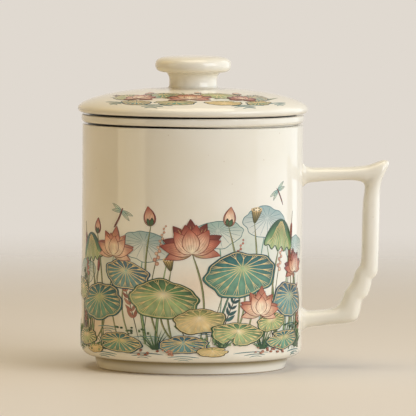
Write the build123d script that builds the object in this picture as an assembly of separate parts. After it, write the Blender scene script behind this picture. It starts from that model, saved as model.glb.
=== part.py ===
from build123d import *

import os
from math import sqrt

# Tea infuser mug: a porcelain mug with a handle, a lift-out strainer basket and a knobbed lid.
# Millimetres, +Z up. The origin is on the mug's axis, on the table, and the handle points to +X.

# Mug body
body_radius = 42.5
rim_height = 93.9
body_wall = 4.0
floor_thickness = 5.0
floor_corner = 7.0
rim_edge = 0.5
heel_round = 3.8
foot_inset = 4.9
foot_height = 4.8
foot_taper = 1.5
foot_ring_width = 4.5
foot_recess = 2.0
foot_edge = 0.7

# Handle: the arms are placed by their middle lines, and the reach runs from the wall to the tip.
# Levels run across the width, and the side share is the thickness that is left at the two sides.
handle_reach = 33.35
handle_width = 10.0
handle_top_drop = 18.75
handle_low = 20.05
handle_side_share = 0.3
handle_level_shares = (-1, -0.9, -0.65, -0.3, 0, 0.3, 0.65, 0.9, 1)

# Side view of the handle, from the upper arm round to the lower arm. Each row has the inner edge
# and the outer edge, as shares of the reach and of the rise between the arms.
handle_edge_shares = [
    (-0.060, 0.889, -0.060, 1.091),
    (0.004, 0.907, 0.004, 1.074),
    (0.033, 0.931, 0.033, 1.052),
    (0.080, 0.942, 0.080, 1.041),
    (0.288, 0.955, 0.288, 1.043),
    (0.542, 0.960, 0.548, 1.051),
    (0.660, 0.948, 0.774, 1.076),
    (0.712, 0.925, 0.991, 1.090),
    (0.714, 0.893, 0.982, 1.048),
    (0.702, 0.844, 0.907, 0.936),
    (0.691, 0.781, 0.900, 0.831),
    (0.687, 0.642, 0.898, 0.642),
    (0.681, 0.433, 0.889, 0.413),
    (0.667, 0.363, 0.877, 0.312),
    (0.639, 0.336, 0.845, 0.278),
    (0.613, 0.310, 0.812, 0.256),
    (0.583, 0.254, 0.791, 0.203),
    (0.536, 0.207, 0.758, 0.147),
    (0.506, 0.185, 0.715, 0.121),
    (0.485, 0.160, 0.693, 0.100),
    (0.462, 0.122, 0.675, 0.049),
    (0.417, 0.079, 0.639, -0.013),
    (0.336, 0.059, 0.535, -0.032),
    (0.185, 0.049, 0.268, -0.047),
    (0.093, 0.044, 0.105, -0.059),
    (0.047, 0.049, 0.048, -0.070),
    (0.012, 0.063, 0.014, -0.087),
    (-0.047, 0.087, -0.044, -0.115),
]

# Infuser basket: its flange rests on the rim and shows between the body and the lid
flange_thickness = 3.7
flange_overhang = 0.35
flange_top_edge = 0.6
flange_low_edge = 1.2
rim_gap = 0.65
rim_gap_depth = 2.0
basket_clearance = 0.9
basket_wall = 3.0
basket_depth = 62.0
basket_taper = 4.5
basket_floor = 3.0
basket_corner = 6.0
mouth_edge = 0.8
drain_diameter = 2.6
drain_pitch = 6.2
drain_margin = 1.5
wall_drain_rows = 2
wall_drain_count = 24

# Lid: a hollow dome whose locating ring drops into the basket's mouth
lid_overhang = 1.85
lid_height = 10.0
lid_gap = 0.7
lid_gap_depth = 2.8
lid_edge_round = 1.6
lid_shell = 3.8
lid_hollow_rise = 2.2
ring_clearance = 0.8
ring_wall = 3.0
ring_depth = 7.0
ring_edge = 0.8
shoulder_rise_share = 0.37
crown_start_shares = (0.72, 0.91)
hollow_edge_shares = (0.80, 0.80)
hollow_top_share = 0.45

# Lid knob: a mushroom on a waisted neck
knob_base_radius = 10.8
knob_neck_radius = 9.2
knob_radius = 14.65
knob_height = 12.3
base_flare_shares = (0.02, 0.09)
neck_height_share = 0.20
neck_bend_shares = (0.38, 0.49)
neck_swell_share = 0.13
cap_edge_shares = (0.33, 0.50)
cap_lip_share = 0.95
cap_bend_shares = (0.505, 0.60)
cap_widest_share = 0.73
cap_shoulder_share = 0.92
cap_top_shares = (0.86, 0.985)
cap_crown_share = 0.55

# Values worked out from the sizes above
body_bore = body_radius - body_wall
floor_top = foot_recess + floor_thickness
foot_radius = body_radius - foot_inset
foot_contact = foot_radius - foot_taper
handle_rise = rim_height - handle_top_drop - handle_low
flange_radius = body_radius + flange_overhang
flange_top = rim_height + flange_thickness
basket_radius = body_bore - basket_clearance
basket_low_radius = basket_radius - basket_taper
basket_mouth = basket_radius - basket_wall
basket_low_mouth = basket_low_radius - basket_wall
basket_bottom = rim_height - basket_depth
basket_floor_top = basket_bottom + basket_floor
lid_radius = body_radius + lid_overhang
lid_top = flange_top + lid_height
ring_radius = basket_mouth - ring_clearance
ring_bore = ring_radius - ring_wall


def point(radius, height):
    """A point of an outline in the XZ plane."""
    return (radius, 0, height)


def turned(edges):
    """The solid that a closed outline in the XZ plane sweeps round the mug's axis."""
    return revolve(make_face(edges), Axis.Z)


def turned_corners(corners):
    """A turned solid from corners given as radius, height and rounding."""
    points = [point(radius, height) for radius, height, rounding in corners]
    rounds = [rounding for radius, height, rounding in corners]
    return turned(FilletPolyline(*points, radius=rounds, close=True))


def make_mug_body():
    """Straight wall, rounded heel, tapered foot ring and a flat rim."""
    return turned_corners([
        (0, foot_recess, 0),
        (foot_contact - foot_ring_width, foot_recess, foot_edge),
        (foot_contact - foot_ring_width, 0, foot_edge),
        (foot_contact, 0, foot_edge),
        (foot_radius, foot_height, 0),
        (body_radius, foot_height, min(heel_round, foot_inset - foot_edge)),
        (body_radius, rim_height, rim_edge),
        (body_bore, rim_height, rim_edge),
        (body_bore, floor_top, floor_corner),
        (0, floor_top, 0),
    ])


def handle_point(reach_share, rise_share, level):
    """A point of the handle at a level across its width, from -1 at one side to 1 at the other."""
    return Vector(
        body_radius + reach_share * handle_reach,
        level * handle_width / 2,
        handle_low + rise_share * handle_rise,
    )


def handle_outline(level):
    """The handle's side view at a level across its width, thinner towards the two sides."""
    swell = sqrt(1 - (1 - handle_side_share**2) * level**2)
    inner_edge = []
    outer_edge = []
    for inner_reach, inner_rise, outer_reach, outer_rise in handle_edge_shares:
        inner = handle_point(inner_reach, inner_rise, level)
        outer = handle_point(outer_reach, outer_rise, level)
        middle = (inner + outer) / 2
        inner_edge.append(middle + (inner - middle) * swell)
        outer_edge.append(middle + (outer - middle) * swell)
    return make_face([
        Spline(*outer_edge),
        Line(outer_edge[-1], inner_edge[-1]),
        Spline(*inner_edge[::-1]),
        Line(inner_edge[0], outer_edge[0]),
    ])


def make_handle():
    """Flared arms, an upturned corner and a stepped lower corner, cut to the mug's wall."""
    sweep = loft([handle_outline(level) for level in handle_level_shares])
    wall = Cylinder(body_radius, rim_height, align=(Align.CENTER, Align.CENTER, Align.MIN))
    return sweep - wall


def drain_cylinders():
    """Cutters for the drain holes: rings of six, twelve and so on in the floor, and rows in the wall."""
    radius = drain_diameter / 2
    floor_cut = Cylinder(radius, 2 * basket_floor)
    floor_room = basket_low_mouth - basket_corner + basket_floor - drain_margin - radius
    cutters = [Pos(0, 0, basket_bottom + basket_floor / 2) * floor_cut]
    for ring in range(1, int(floor_room / drain_pitch) + 1):
        middle = Pos(ring * drain_pitch, 0, basket_bottom + basket_floor / 2)
        cutters += [Rot(0, 0, 60 / ring * hole) * middle * floor_cut for hole in range(6 * ring)]
    wall_cut = Rot(0, 90, 0) * Cylinder(radius, 4 * basket_wall)
    for row in range(wall_drain_rows):
        height = basket_bottom + basket_corner + drain_margin + radius + row * drain_pitch
        middle = Pos(basket_low_radius - basket_wall / 2, 0, height)
        turn = 360 / wall_drain_count
        cutters += [Rot(0, 0, turn * (hole + row / 2)) * middle * wall_cut
                    for hole in range(wall_drain_count)]
    return cutters


def make_infuser_basket():
    """Tapered strainer basket hung by its flange, with drain holes in its floor and lower wall."""
    basket = turned_corners([
        (0, basket_bottom, 0),
        (basket_low_radius, basket_bottom, basket_corner),
        (basket_radius, rim_height, 0),
        (body_radius - rim_gap_depth, rim_height, 0),
        (body_radius - rim_gap_depth, rim_height + rim_gap, 0),
        (flange_radius, rim_height + rim_gap, flange_low_edge),
        (flange_radius, flange_top, flange_top_edge),
        (basket_mouth, flange_top, mouth_edge),
        (basket_low_mouth, basket_floor_top, basket_corner - basket_floor),
        (0, basket_floor_top, 0),
    ])
    return basket - drain_cylinders()


def make_lid():
    """Hollow dome with a rounded overhanging edge, a seat land and a locating ring."""
    edge_low = flange_top + lid_gap
    edge_high = edge_low + lid_edge_round
    dome_rise = lid_top - edge_high
    hollow_top = lid_top - lid_shell
    hollow_low = hollow_top - lid_hollow_rise
    land = flange_radius - lid_gap_depth
    crown_radius_share, crown_rise_share = crown_start_shares
    hollow_radius_share, hollow_rise_share = hollow_edge_shares
    dome = Bezier(
        point(lid_radius, edge_high),
        point(lid_radius, edge_high + shoulder_rise_share * dome_rise),
        point(crown_radius_share * lid_radius, edge_high + crown_rise_share * dome_rise),
        point(knob_base_radius, lid_top),
    )
    hollow = Bezier(
        point(ring_bore, hollow_low),
        point(hollow_radius_share * ring_bore, hollow_low + hollow_rise_share * lid_hollow_rise),
        point(hollow_top_share * ring_bore, hollow_top),
        point(0, hollow_top),
    )
    rounded_edge = TangentArc(
        point(lid_radius, edge_high),
        point(lid_radius - lid_edge_round, edge_low),
        tangent=-Axis.Z.direction,
    )
    underside = FilletPolyline(
        point(lid_radius - lid_edge_round, edge_low),
        point(land, edge_low),
        point(land, flange_top),
        point(ring_radius, flange_top),
        point(ring_radius, flange_top - ring_depth),
        point(ring_bore, flange_top - ring_depth),
        point(ring_bore, hollow_low),
        radius=[0, 0, 0, ring_edge, ring_edge],
    )
    top = Polyline(point(0, hollow_top), point(0, lid_top), point(knob_base_radius, lid_top))
    return turned([dome, rounded_edge, underside, hollow, top])


def make_lid_knob():
    """Mushroom knob: flared base, waisted neck, rounded cap with a low crown."""
    def rise(share):
        return lid_top + share * knob_height

    neck_out = knob_base_radius - knob_neck_radius
    cap_out = knob_radius - knob_neck_radius
    cap_edge = knob_neck_radius + cap_edge_shares[0] * cap_out
    base = Polyline(point(0, rise(1)), point(0, lid_top), point(knob_base_radius, lid_top))
    flare = Bezier(
        point(knob_base_radius, lid_top),
        point(knob_neck_radius + base_flare_shares[0] * neck_out, lid_top),
        point(knob_neck_radius, rise(base_flare_shares[1])),
        point(knob_neck_radius, rise(neck_height_share)),
    )
    neck = Bezier(
        point(knob_neck_radius, rise(neck_height_share)),
        point(knob_neck_radius, rise(neck_bend_shares[0])),
        point(knob_neck_radius + neck_swell_share * cap_out, rise(neck_bend_shares[1])),
        point(cap_edge, rise(cap_edge_shares[1])),
    )
    lip = Bezier(
        point(cap_edge, rise(cap_edge_shares[1])),
        point(cap_lip_share * knob_radius, rise(cap_bend_shares[0])),
        point(knob_radius, rise(cap_bend_shares[1])),
        point(knob_radius, rise(cap_widest_share)),
    )
    crown = Bezier(
        point(knob_radius, rise(cap_widest_share)),
        point(knob_radius, rise(cap_shoulder_share)),
        point(cap_top_shares[0] * knob_radius, rise(cap_top_shares[1])),
        point(cap_crown_share * knob_radius, rise(1)),
    )
    top = Line(point(cap_crown_share * knob_radius, rise(1)), point(0, rise(1)))
    return turned([base, flare, neck, lip, crown, top])


parts = {
    "mug_body": make_mug_body(),
    "handle": make_handle(),
    "infuser_basket": make_infuser_basket(),
    "lid": make_lid(),
    "lid_knob": make_lid_knob(),
}
os.makedirs("parts", exist_ok=True)
for name, shape in parts.items():
    export_step(shape, f"parts/{name}.step")
    print(name, shape.bounding_box())
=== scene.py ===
import random
from math import cos, degrees, hypot, pi, radians, sin

import bmesh
import bpy
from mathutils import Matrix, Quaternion, Vector, noise
from mathutils.bvhtree import BVHTree


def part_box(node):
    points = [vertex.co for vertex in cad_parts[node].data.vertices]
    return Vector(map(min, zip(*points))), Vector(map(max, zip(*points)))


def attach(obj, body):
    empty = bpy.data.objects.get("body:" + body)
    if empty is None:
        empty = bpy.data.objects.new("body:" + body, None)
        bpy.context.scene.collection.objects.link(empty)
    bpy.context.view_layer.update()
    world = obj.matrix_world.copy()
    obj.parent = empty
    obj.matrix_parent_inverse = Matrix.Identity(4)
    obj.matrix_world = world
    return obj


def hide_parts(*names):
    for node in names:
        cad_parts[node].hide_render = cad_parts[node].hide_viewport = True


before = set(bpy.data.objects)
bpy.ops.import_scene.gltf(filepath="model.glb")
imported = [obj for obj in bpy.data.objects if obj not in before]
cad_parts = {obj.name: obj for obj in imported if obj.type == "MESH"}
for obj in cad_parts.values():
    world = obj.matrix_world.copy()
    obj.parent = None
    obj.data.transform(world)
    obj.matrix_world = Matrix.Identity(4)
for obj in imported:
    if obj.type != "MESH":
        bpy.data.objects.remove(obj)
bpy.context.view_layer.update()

# Looks of the tea infuser mug: ivory glaze, a smooth handle, raised enamel of a lotus pond, and a studio.
# Metres in the frame of the CAD model. The enamel is laid out in millimetres on the unrolled surfaces.
MILLIMETRE = 0.001

scene = bpy.context.scene
wall_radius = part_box("mug_body")[1].x
wall_round = wall_radius / MILLIMETRE
lid_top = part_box("lid")[1].z

# Camera, fitted to the photograph
CAMERA_PLACE = (0, -2.2, 0.2005)
CAMERA_AIM = (0.00604, 0, 0.06142)
CAMERA_LENS = 495.1
CAMERA_ROLL = 0.38

# Colours, as sRGB bytes
IVORY = (242, 236, 221)
IVORY_WARM = (238, 231, 213)
SPECK = (176, 148, 108)
BISCUIT = (206, 186, 156)
# Painted shade: the dark lines of the seam gaps between lid, infuser and rim
SEAM_PAINTED_SHADE = (40, 28, 16)
# Pooled glaze in creases, also standing for painted shade there
POOL_AND_SHADE = (150, 134, 92)
TEAL_DEEP = (24, 70, 74)
TEAL = (48, 106, 104)
TEAL_PALE = (146, 182, 170)
TEAL_MIST = (196, 208, 192)
BLUE_DEEP = (32, 66, 86)
BLUE = (52, 96, 108)
GREEN_DEEP = (40, 74, 46)
GREEN = (88, 126, 76)
GREEN_PALE = (172, 190, 136)
RUST_DEEP = (104, 44, 36)
RUST = (166, 90, 70)
RUST_PALE = (216, 160, 132)
PEACH = (234, 204, 170)
OCHRE = (208, 172, 112)
CREAM = (242, 226, 194)
GOLD = (224, 196, 136)
OLIVE = (92, 92, 50)
OLIVE_DARK = (52, 52, 30)
BACKDROP = (224, 217, 208)
FLOOR = (226, 218, 208)


def linear(colour):
    """Scene-linear RGB of an sRGB colour."""
    shares = [channel / 255 for channel in colour]
    return tuple(s / 12.92 if s <= 0.04045 else ((s + 0.055) / 1.055) ** 2.4 for s in shares)


def solid(colour):
    """Scene-linear RGBA of an sRGB colour."""
    return (*linear(colour), 1)


def blend(first, second, share):
    """A colour, or any tuple, between two others."""
    return tuple(a + (b - a) * share for a, b in zip(first, second))


def smooth(low, high, value):
    """A soft step from 0 at low to 1 at high."""
    share = min(max((value - low) / (high - low), 0), 1)
    return share * share * (3 - 2 * share)


def steps(first, last, count):
    """Evenly spaced values, both ends included."""
    return [first + (last - first) * i / (count - 1) for i in range(count)]


def circle(count):
    """Evenly spaced angles of a full turn."""
    return [2 * pi * i / count for i in range(count)]


def add_object(name, data):
    """A new object in the scene."""
    made = bpy.data.objects.new(name, data)
    scene.collection.objects.link(made)
    return made


CREASE = radians(40)


class Form:
    """The points and faces of one piece."""

    def __init__(self):
        self.places = []
        self.faces = []

    def strip(self, near, far, wraps=True):
        """Faces between two rows of points, all the way round if the rows wrap."""
        for i in range(len(near) if wraps else len(near) - 1):
            j = (i + 1) % len(near)
            self.faces.append((near[i], near[j], far[j], far[i]))

    def build(self, name, body, slot, material):
        """The finished piece, riding on a body: outward faces, smooth but for real creases."""
        mesh = bpy.data.meshes.new(name)
        mesh.from_pydata(self.places, [], self.faces)
        work = bmesh.new()
        work.from_mesh(mesh)
        bmesh.ops.recalc_face_normals(work, faces=work.faces)
        work.to_mesh(mesh)
        work.free()
        mesh.shade_smooth()
        mesh.set_sharp_from_angle(angle=CREASE)
        mesh.materials.append(material)
        piece = add_object(name, mesh)
        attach(piece, body)
        return piece


# Raised enamel, in millimetres
SINK = 0.05
GROUND_LIFT = 0.014
FIRST_LIFT = 0.02
LIFT_GAP = 0.004
INK_HEIGHT = 0.005
GILT_HEIGHT = 0.007
RIB_FOOT_SHARE = 1.15
RIB_TIP_SHARE = 0.3
RIB_TAPER = 4
RELIEF_CELL = 0.8
LEAFLET_STEP = 0.001
PETAL_STEP = 0.008
KINDS = ("leaves", "grasses", "petals", "outlines", "gilding")


class Enamel(Form):
    """Closed, slightly raised shells on a glazed surface, with a colour at each point."""

    def __init__(self, surface):
        super().__init__()
        self.surface = surface
        self.colours = []

    def point(self, across, up, lift, colour):
        self.places.append(self.surface(across, up, lift))
        self.colours.append(colour)
        return len(self.places) - 1

    def sheet(self, lift, spots, colours, wraps=False):
        """A shell over rows of (across, up, rise) spots, with a plainer underside in the glaze."""
        rows = [list(zip(*row)) for row in zip(spots, colours)]
        top = [[self.point(x, y, lift + rise, colour) for (x, y, rise), colour in row] for row in rows]
        if wraps:
            rows = [rows[0], rows[-1]]
        low = [[self.point(x, y, -SINK, colour) for (x, y, _), colour in row] for row in rows]
        for side in (top, low):
            for near, far in zip(side, side[1:]):
                self.strip(near, far, wraps)
        if wraps:
            self.faces += [tuple(top[0]), tuple(low[0])]
            self.strip(top[-1], low[-1])
        else:
            self.strip(self.border(top), self.border(low))

    def border(self, rows):
        right = [row[-1] for row in rows]
        left = [row[0] for row in rows]
        return rows[0][:-1] + right[:-1] + rows[-1][:0:-1] + left[:0:-1]

    def rib(self, lift, spots, width, height, colour, closed=False):
        """A raised line along (across, up, rise) spots, thinner towards its ends."""
        rows = []
        count = len(spots)
        for i, (x, y, rise) in enumerate(spots):
            before = spots[(i - 1) % count if closed else max(i - 1, 0)]
            after = spots[(i + 1) % count if closed else min(i + 1, count - 1)]
            run = Vector((after[0] - before[0], after[1] - before[1])).normalized()
            from_end = min(i, count - 1 - i) / (count - 1)
            half = width * (1 if closed else min(1, RIB_TIP_SHARE + RIB_TAPER * from_end)) / 2
            top = lift + rise + height
            section = ((RIB_FOOT_SHARE, -SINK), (1, top), (-1, top), (-RIB_FOOT_SHARE, -SINK))
            rows.append([self.point(x - run.y * half * side, y + run.x * half * side, level, colour)
                         for side, level in section])
        for near, far in zip(rows, rows[1:]):
            self.strip(near, far)
        if closed:
            self.strip(rows[-1], rows[0])
        else:
            self.faces += [tuple(rows[0]), tuple(rows[-1])]

    def build(self, name, body, slot, material):
        """The finished piece, with its colours."""
        piece = super().build(name, body, slot, material)
        paint = piece.data.color_attributes.new("paint", "FLOAT_COLOR", "POINT")
        values = [value for *colour, share in self.colours for value in (*linear(colour), share)]
        paint.data.foreach_set("color", values)
        return piece


class Brush:
    """Draws on one surface, and knows the relief that already lies there."""

    def __init__(self, surface, around, seed):
        self.around = round(around / RELIEF_CELL)
        self.chance = random.Random(seed)
        self.relief = {}
        self.cluster = None
        self.step = LEAFLET_STEP
        self.kinds = {kind: Enamel(surface) for kind in KINDS}

    def settle(self, spots, thickness):
        """The lift at which a motif clears what already lies under its spots."""
        cells = set()
        for x, y, _ in spots:
            column = round(x / RELIEF_CELL)
            row = round(y / RELIEF_CELL)
            cells.update(((column + i) % self.around, row + j) for i in (-1, 0, 1) for j in (-1, 0, 1))
        lift = max(self.relief.get(cell, FIRST_LIFT) for cell in cells) + LIFT_GAP
        for cell in cells:
            self.relief[cell] = lift + thickness
        return lift

    def fill(self, kind, spots, colours, thickness, wraps=False):
        """A shell over all that lies there, or in a cluster just over its last shell. Returns its lift."""
        if self.cluster is None:
            lift = self.settle([spot for row in spots for spot in row], thickness)
        else:
            self.cluster += self.step
            lift = self.cluster
        self.kinds[kind].sheet(lift, spots, colours, wraps)
        return lift

    def open_cluster(self, spots, shells, step=LEAFLET_STEP):
        """Lays the next shells close together, over all that lies under the cluster's spots."""
        self.cluster = self.settle(spots, shells * step + INK_HEIGHT)
        self.step = step

    def close_cluster(self):
        self.cluster = None

    def ink(self, lift, spots, width, colour, closed=False):
        self.kinds["outlines"].rib(lift, spots, width, INK_HEIGHT, (*colour, 1), closed)

    def gild(self, lift, spots, width, colour, closed=False):
        self.kinds["gilding"].rib(lift, spots, width, GILT_HEIGHT, (*colour, 1), closed)

    def line(self, spots, width, colour):
        """An inked line over all that lies there."""
        self.ink(self.settle(spots, INK_HEIGHT), spots, width, colour)


HEEL_ROUND = 3.8
HEEL_TOP = 8.6
LID_RING = 29.0
lid_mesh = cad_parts["lid"].data
lid_tree = BVHTree.FromPolygons([v.co for v in lid_mesh.vertices], [p.vertices for p in lid_mesh.polygons])


def on_wall(across, up, lift):
    """A place on the wall and its round heel, across from the front and up from the table."""
    turn = across / wall_round
    bend = max(HEEL_TOP - up, 0) / HEEL_ROUND
    radius = wall_round - HEEL_ROUND + (HEEL_ROUND + lift) * cos(bend)
    height = up if bend == 0 else HEEL_TOP - (HEEL_ROUND + lift) * sin(bend)
    return (radius * sin(turn) * MILLIMETRE, -radius * cos(turn) * MILLIMETRE, height * MILLIMETRE)


def on_lid(across, up, lift):
    """A place on the lid's dome, across from the front along a ring and up from that ring."""
    turn = across / LID_RING
    radius = (LID_RING - up) * MILLIMETRE
    above = Vector((radius * sin(turn), -radius * cos(turn), 2 * lid_top))
    spot, normal, _, _ = lid_tree.ray_cast(above, Vector((0, 0, -1)))
    return tuple(spot + normal * lift * MILLIMETRE)


# What the motifs are made of. Angles are in degrees from upright, positive to the right, and a stroke is
# its base, the angle at which it leaves the base, its length, and its curl: how far it turns on its way.
MOTTLE_SCALE = 0.45
MOTTLE_SHARE = 0.16
STRAIGHT_TURN = 1e-4
GRID_COLUMNS = 16
GRID_ROWS = 10
FROND_SIDES = steps(-1, 1, 9)
NARROW_SIDES = steps(-1, 1, 5)
NARROW_WIDTH = 2.0
DISC_RINGS = (0.2, 0.65, 1)
DISC_AROUND = 10
DISC_CROWN = 0.004


def lattice(make, rows, columns):
    """What a function makes of each row and column."""
    return [[make(row, column) for column in columns] for row in rows]


def shell(spot, tint, rows, columns):
    """The spots of a motif, and their colours, a little lighter and darker as pigment settles."""
    def colour(row, column):
        x, y, _ = spot(row, column)
        share = 1 + MOTTLE_SHARE * noise.noise(Vector((x * MOTTLE_SCALE, y * MOTTLE_SCALE, 0)))
        return (*(min(channel * share, 255) for channel in tint(row, column)), 1)

    return lattice(spot, rows, columns), lattice(colour, rows, columns)


def arc(base, angle, length, curl, along):
    """The point at a share of a stroke, with its heading there."""
    start = radians(angle)
    turn = radians(curl)
    heading = start + turn * along
    if abs(turn) < STRAIGHT_TURN:
        return base[0] + length * along * sin(start), base[1] + length * along * cos(start), heading
    reach = length / turn
    across = reach * (cos(start) - cos(heading))
    return base[0] + across, base[1] + reach * (sin(heading) - sin(start)), heading


def arc_spots(stroke, first, last, count):
    """Spots of a stroke from one share of it to another."""
    return [(*arc(*stroke, along)[:2], 0) for along in steps(first, last, count)]


def grid_spots(x, y, width, height):
    """Spots all over a rectangle about a middle."""
    return [(across, up, 0) for across in steps(x - width / 2, x + width / 2, GRID_COLUMNS)
            for up in steps(y - height / 2, y + height / 2, GRID_ROWS)]


def tilted(x, y, tilt, side, rise):
    """A place to the side of another and above it, both tilted about it."""
    lean = radians(tilt)
    return x + side * cos(lean) - rise * sin(lean), y + side * sin(lean) + rise * cos(lean)


def petal_profile(along):
    return max(0.2 * (1 - along) + sin(pi * along**0.82) ** 0.85, 0.03)


def reed_profile(along):
    return max((1 - along) ** 0.75 * min(1, 0.45 + 5 * along), 0.04)


# Each form of a frond has the profile of its width, the crown of its section and its rows
PETAL = (petal_profile, 0.002, 12)
LEAFLET = (petal_profile, 0.002, 7)
REED = (reed_profile, 0.003, 18)
BLADE = (reed_profile, 0.003, 8)
POD = (lambda along: 0.16 + 0.84 * along**0.85, 0.004, 8)
CATTAIL = (lambda along: sin(pi * along) ** 0.32 + 0.02, 0.008, 14)
WING = (lambda along: max(sin(pi * along**0.7) ** 0.7, 0.06), 0.004, 9)


def frond(brush, kind, form, stroke, width, tint):
    """A shell of a form along a stroke. Returns its lift, and the paths along its sides."""
    profile, crown, rows = form

    def spot(along, side):
        x, y, heading = arc(*stroke, along)
        half = width / 2 * profile(along) * side
        return (x + half * cos(heading), y - half * sin(heading), crown * (1 - side * side))

    def path(side, first, last, count):
        return [spot(along, side) for along in steps(first, last, count)]

    sides = NARROW_SIDES if width < NARROW_WIDTH else FROND_SIDES
    lift = brush.fill(kind, *shell(spot, tint, steps(0, 1, rows), sides), crown + INK_HEIGHT)
    return lift, path


def disc(brush, kind, x, y, width, height, tint, around=DISC_AROUND):
    """A small oval shell, coloured by its share from the middle."""
    def spot(share, turn):
        return (x + share * width / 2 * cos(turn), y + share * height / 2 * sin(turn),
                DISC_CROWN * (1 - share * share))

    shape = shell(spot, lambda share, turn: tint(share), DISC_RINGS, circle(around))
    brush.fill(kind, *shape, DISC_CROWN, wraps=True)


GROUND_CELL = 1.5
GROUND_DIP = 0.03


def stain(washes, x, y):
    """Colour and strength at a place where soft stains overlap."""
    colour = washes[0][4]
    strength = 0
    for middle_x, middle_y, width, height, tint, peak in washes:
        away = hypot(2 * (x - middle_x) / width, 2 * (y - middle_y) / height)
        share = peak * (1 - smooth(0, 1, away))
        total = share + strength * (1 - share)
        if share > 0:
            colour = blend(colour, tint, share / total)
        strength = total
    return (*colour, strength)


def ground(brush, washes):
    """A thin ground for the motifs, stained by washes that fade into the glaze, as its border does."""
    left = min(x - width / 2 for x, _, width, *_ in washes)
    right = max(x + width / 2 for x, _, width, *_ in washes)
    low = min(y - height / 2 for _, y, _, height, *_ in washes)
    high = max(y + height / 2 for _, y, _, height, *_ in washes)
    across = steps(left, right, round((right - left) / GROUND_CELL))
    up = steps(low, high, round((high - low) / GROUND_CELL))

    def spot(y, x):
        return (x, y, -GROUND_DIP if x in (left, right) or y in (low, high) else 0)

    colours = lattice(lambda y, x: stain(washes, x, y), up, across)
    brush.kinds["leaves"].sheet(GROUND_LIFT, lattice(spot, up, across), colours)


# Widths of lines, in millimetres
FINE_LINE = 0.13
OUTLINE = 0.26
VEIN_WIDTH = 0.2
FORK_WIDTH = 0.75 * VEIN_WIDTH
LEAF_EDGE_WIDTH = 0.36
STAMEN_WIDTH = 0.24
POD_LINE = 0.2
MIDRIB_WIDTH = 0.18
LEAFLET_RIB_WIDTH = 0.12
CATTAIL_STALK = 0.42
SPRAY_STALK = 0.34
SPIKE_STALK = 0.3
WING_LINE = 0.15
DRAGONFLY_BODY = 0.5

# Stems
STEM_FOOT = 12.0
STEM_STEPS = 22
STEM_WIDTH = 0.7
FAR_STEM_WIDTH = 0.45
STEM_LIGHT_SHARE = 0.3
STEM_LIGHT_SHIFT = 0.14


def stem(brush, x, y, shift, bow, width=STEM_WIDTH, colour=OLIVE):
    """A round, bowed stem to a flower or leaf from a foot in the water, off to one side."""
    path = []
    for along in steps(0, 1, STEM_STEPS):
        across, up = blend((x + shift, STEM_FOOT), (x, y), along)
        path.append((across + bow * sin(pi * along), up, 0))
    lift = brush.settle(path, INK_HEIGHT + GILT_HEIGHT)
    brush.ink(lift, path, width, colour)
    light = [(across - width * STEM_LIGHT_SHIFT, up, INK_HEIGHT) for across, up, _ in path]
    brush.gild(lift, light, width * STEM_LIGHT_SHARE, blend(colour, GREEN_PALE, 0.7))


# Lotus leaves
LEAF_WAVES = ((3, 0.030), (5, 0.040), (8, 0.028), (13, 0.014))
LEAF_RINGS = (0.04, 0.1, 0.17, 0.24, 0.31, 0.38, 0.45, 0.52, 0.59, 0.66, 0.73, 0.8, 0.86, 0.92, 0.97, 1)
LEAF_TURNS = circle(90)
LEAF_CROWN = 0.004
LEAF_FURROW = 0.002
LEAF_EYE_SHARE = 0.16
LEAF_EDGE_SHARE = 0.99
LEAF_BAND_SHARE = 0.93
LEAF_VEINS = 17
VEIN_BEND = 0.06
FORK_SHARE = 0.56
FORK_TURN = 2 * pi / LEAF_VEINS * 0.3
NOTCH_WIDTH = 0.2
NOTCH_DEPTH_SHARE = 0.82
FAR_LEAF_EDGE_SHARE = 0.985
FAR_LEAF_STRENGTHS = (0.2, 0.75)

# Each scheme has the colours of the eye, the near side, the far side, the border and the edge
LEAF_SCHEMES = {
    "teal": (GREEN_PALE, (96, 146, 122), TEAL, TEAL_DEEP, TEAL_DEEP),
    "green": (CREAM, (150, 172, 112), GREEN, GREEN_DEEP, GREEN_DEEP),
    "blue": (TEAL_PALE, (104, 146, 140), BLUE, BLUE_DEEP, BLUE_DEEP),
    "ochre": (CREAM, (222, 196, 140), (150, 150, 88), (84, 96, 58), OLIVE_DARK),
}


def leaf_form(brush, x, y, tilt, width, height, notch=None):
    """A wavy lotus leaf: the spot at a share of the way out from its eye and a turn about it."""
    waves = [(lobes, size, brush.chance.uniform(0, 2 * pi)) for lobes, size in LEAF_WAVES]
    eye_up = LEAF_EYE_SHARE * height

    def spot(share, turn):
        swing = 1 + sum(size * sin(lobes * turn + start) for lobes, size, start in waves)
        if notch is not None:
            gap = (turn - radians(notch) + pi) % (2 * pi) - pi
            swing *= 1 - NOTCH_DEPTH_SHARE * max(0, 1 - abs(gap) / NOTCH_WIDTH)
        side = share * swing * width / 2 * cos(turn)
        rise = eye_up + share * (swing * height / 2 * sin(turn) - eye_up)
        crown = LEAF_CROWN * (1 - share * share) + LEAF_FURROW * share * cos(LEAF_VEINS * turn)
        return (*tilted(x, y, tilt, side, rise), crown)

    return spot


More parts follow.
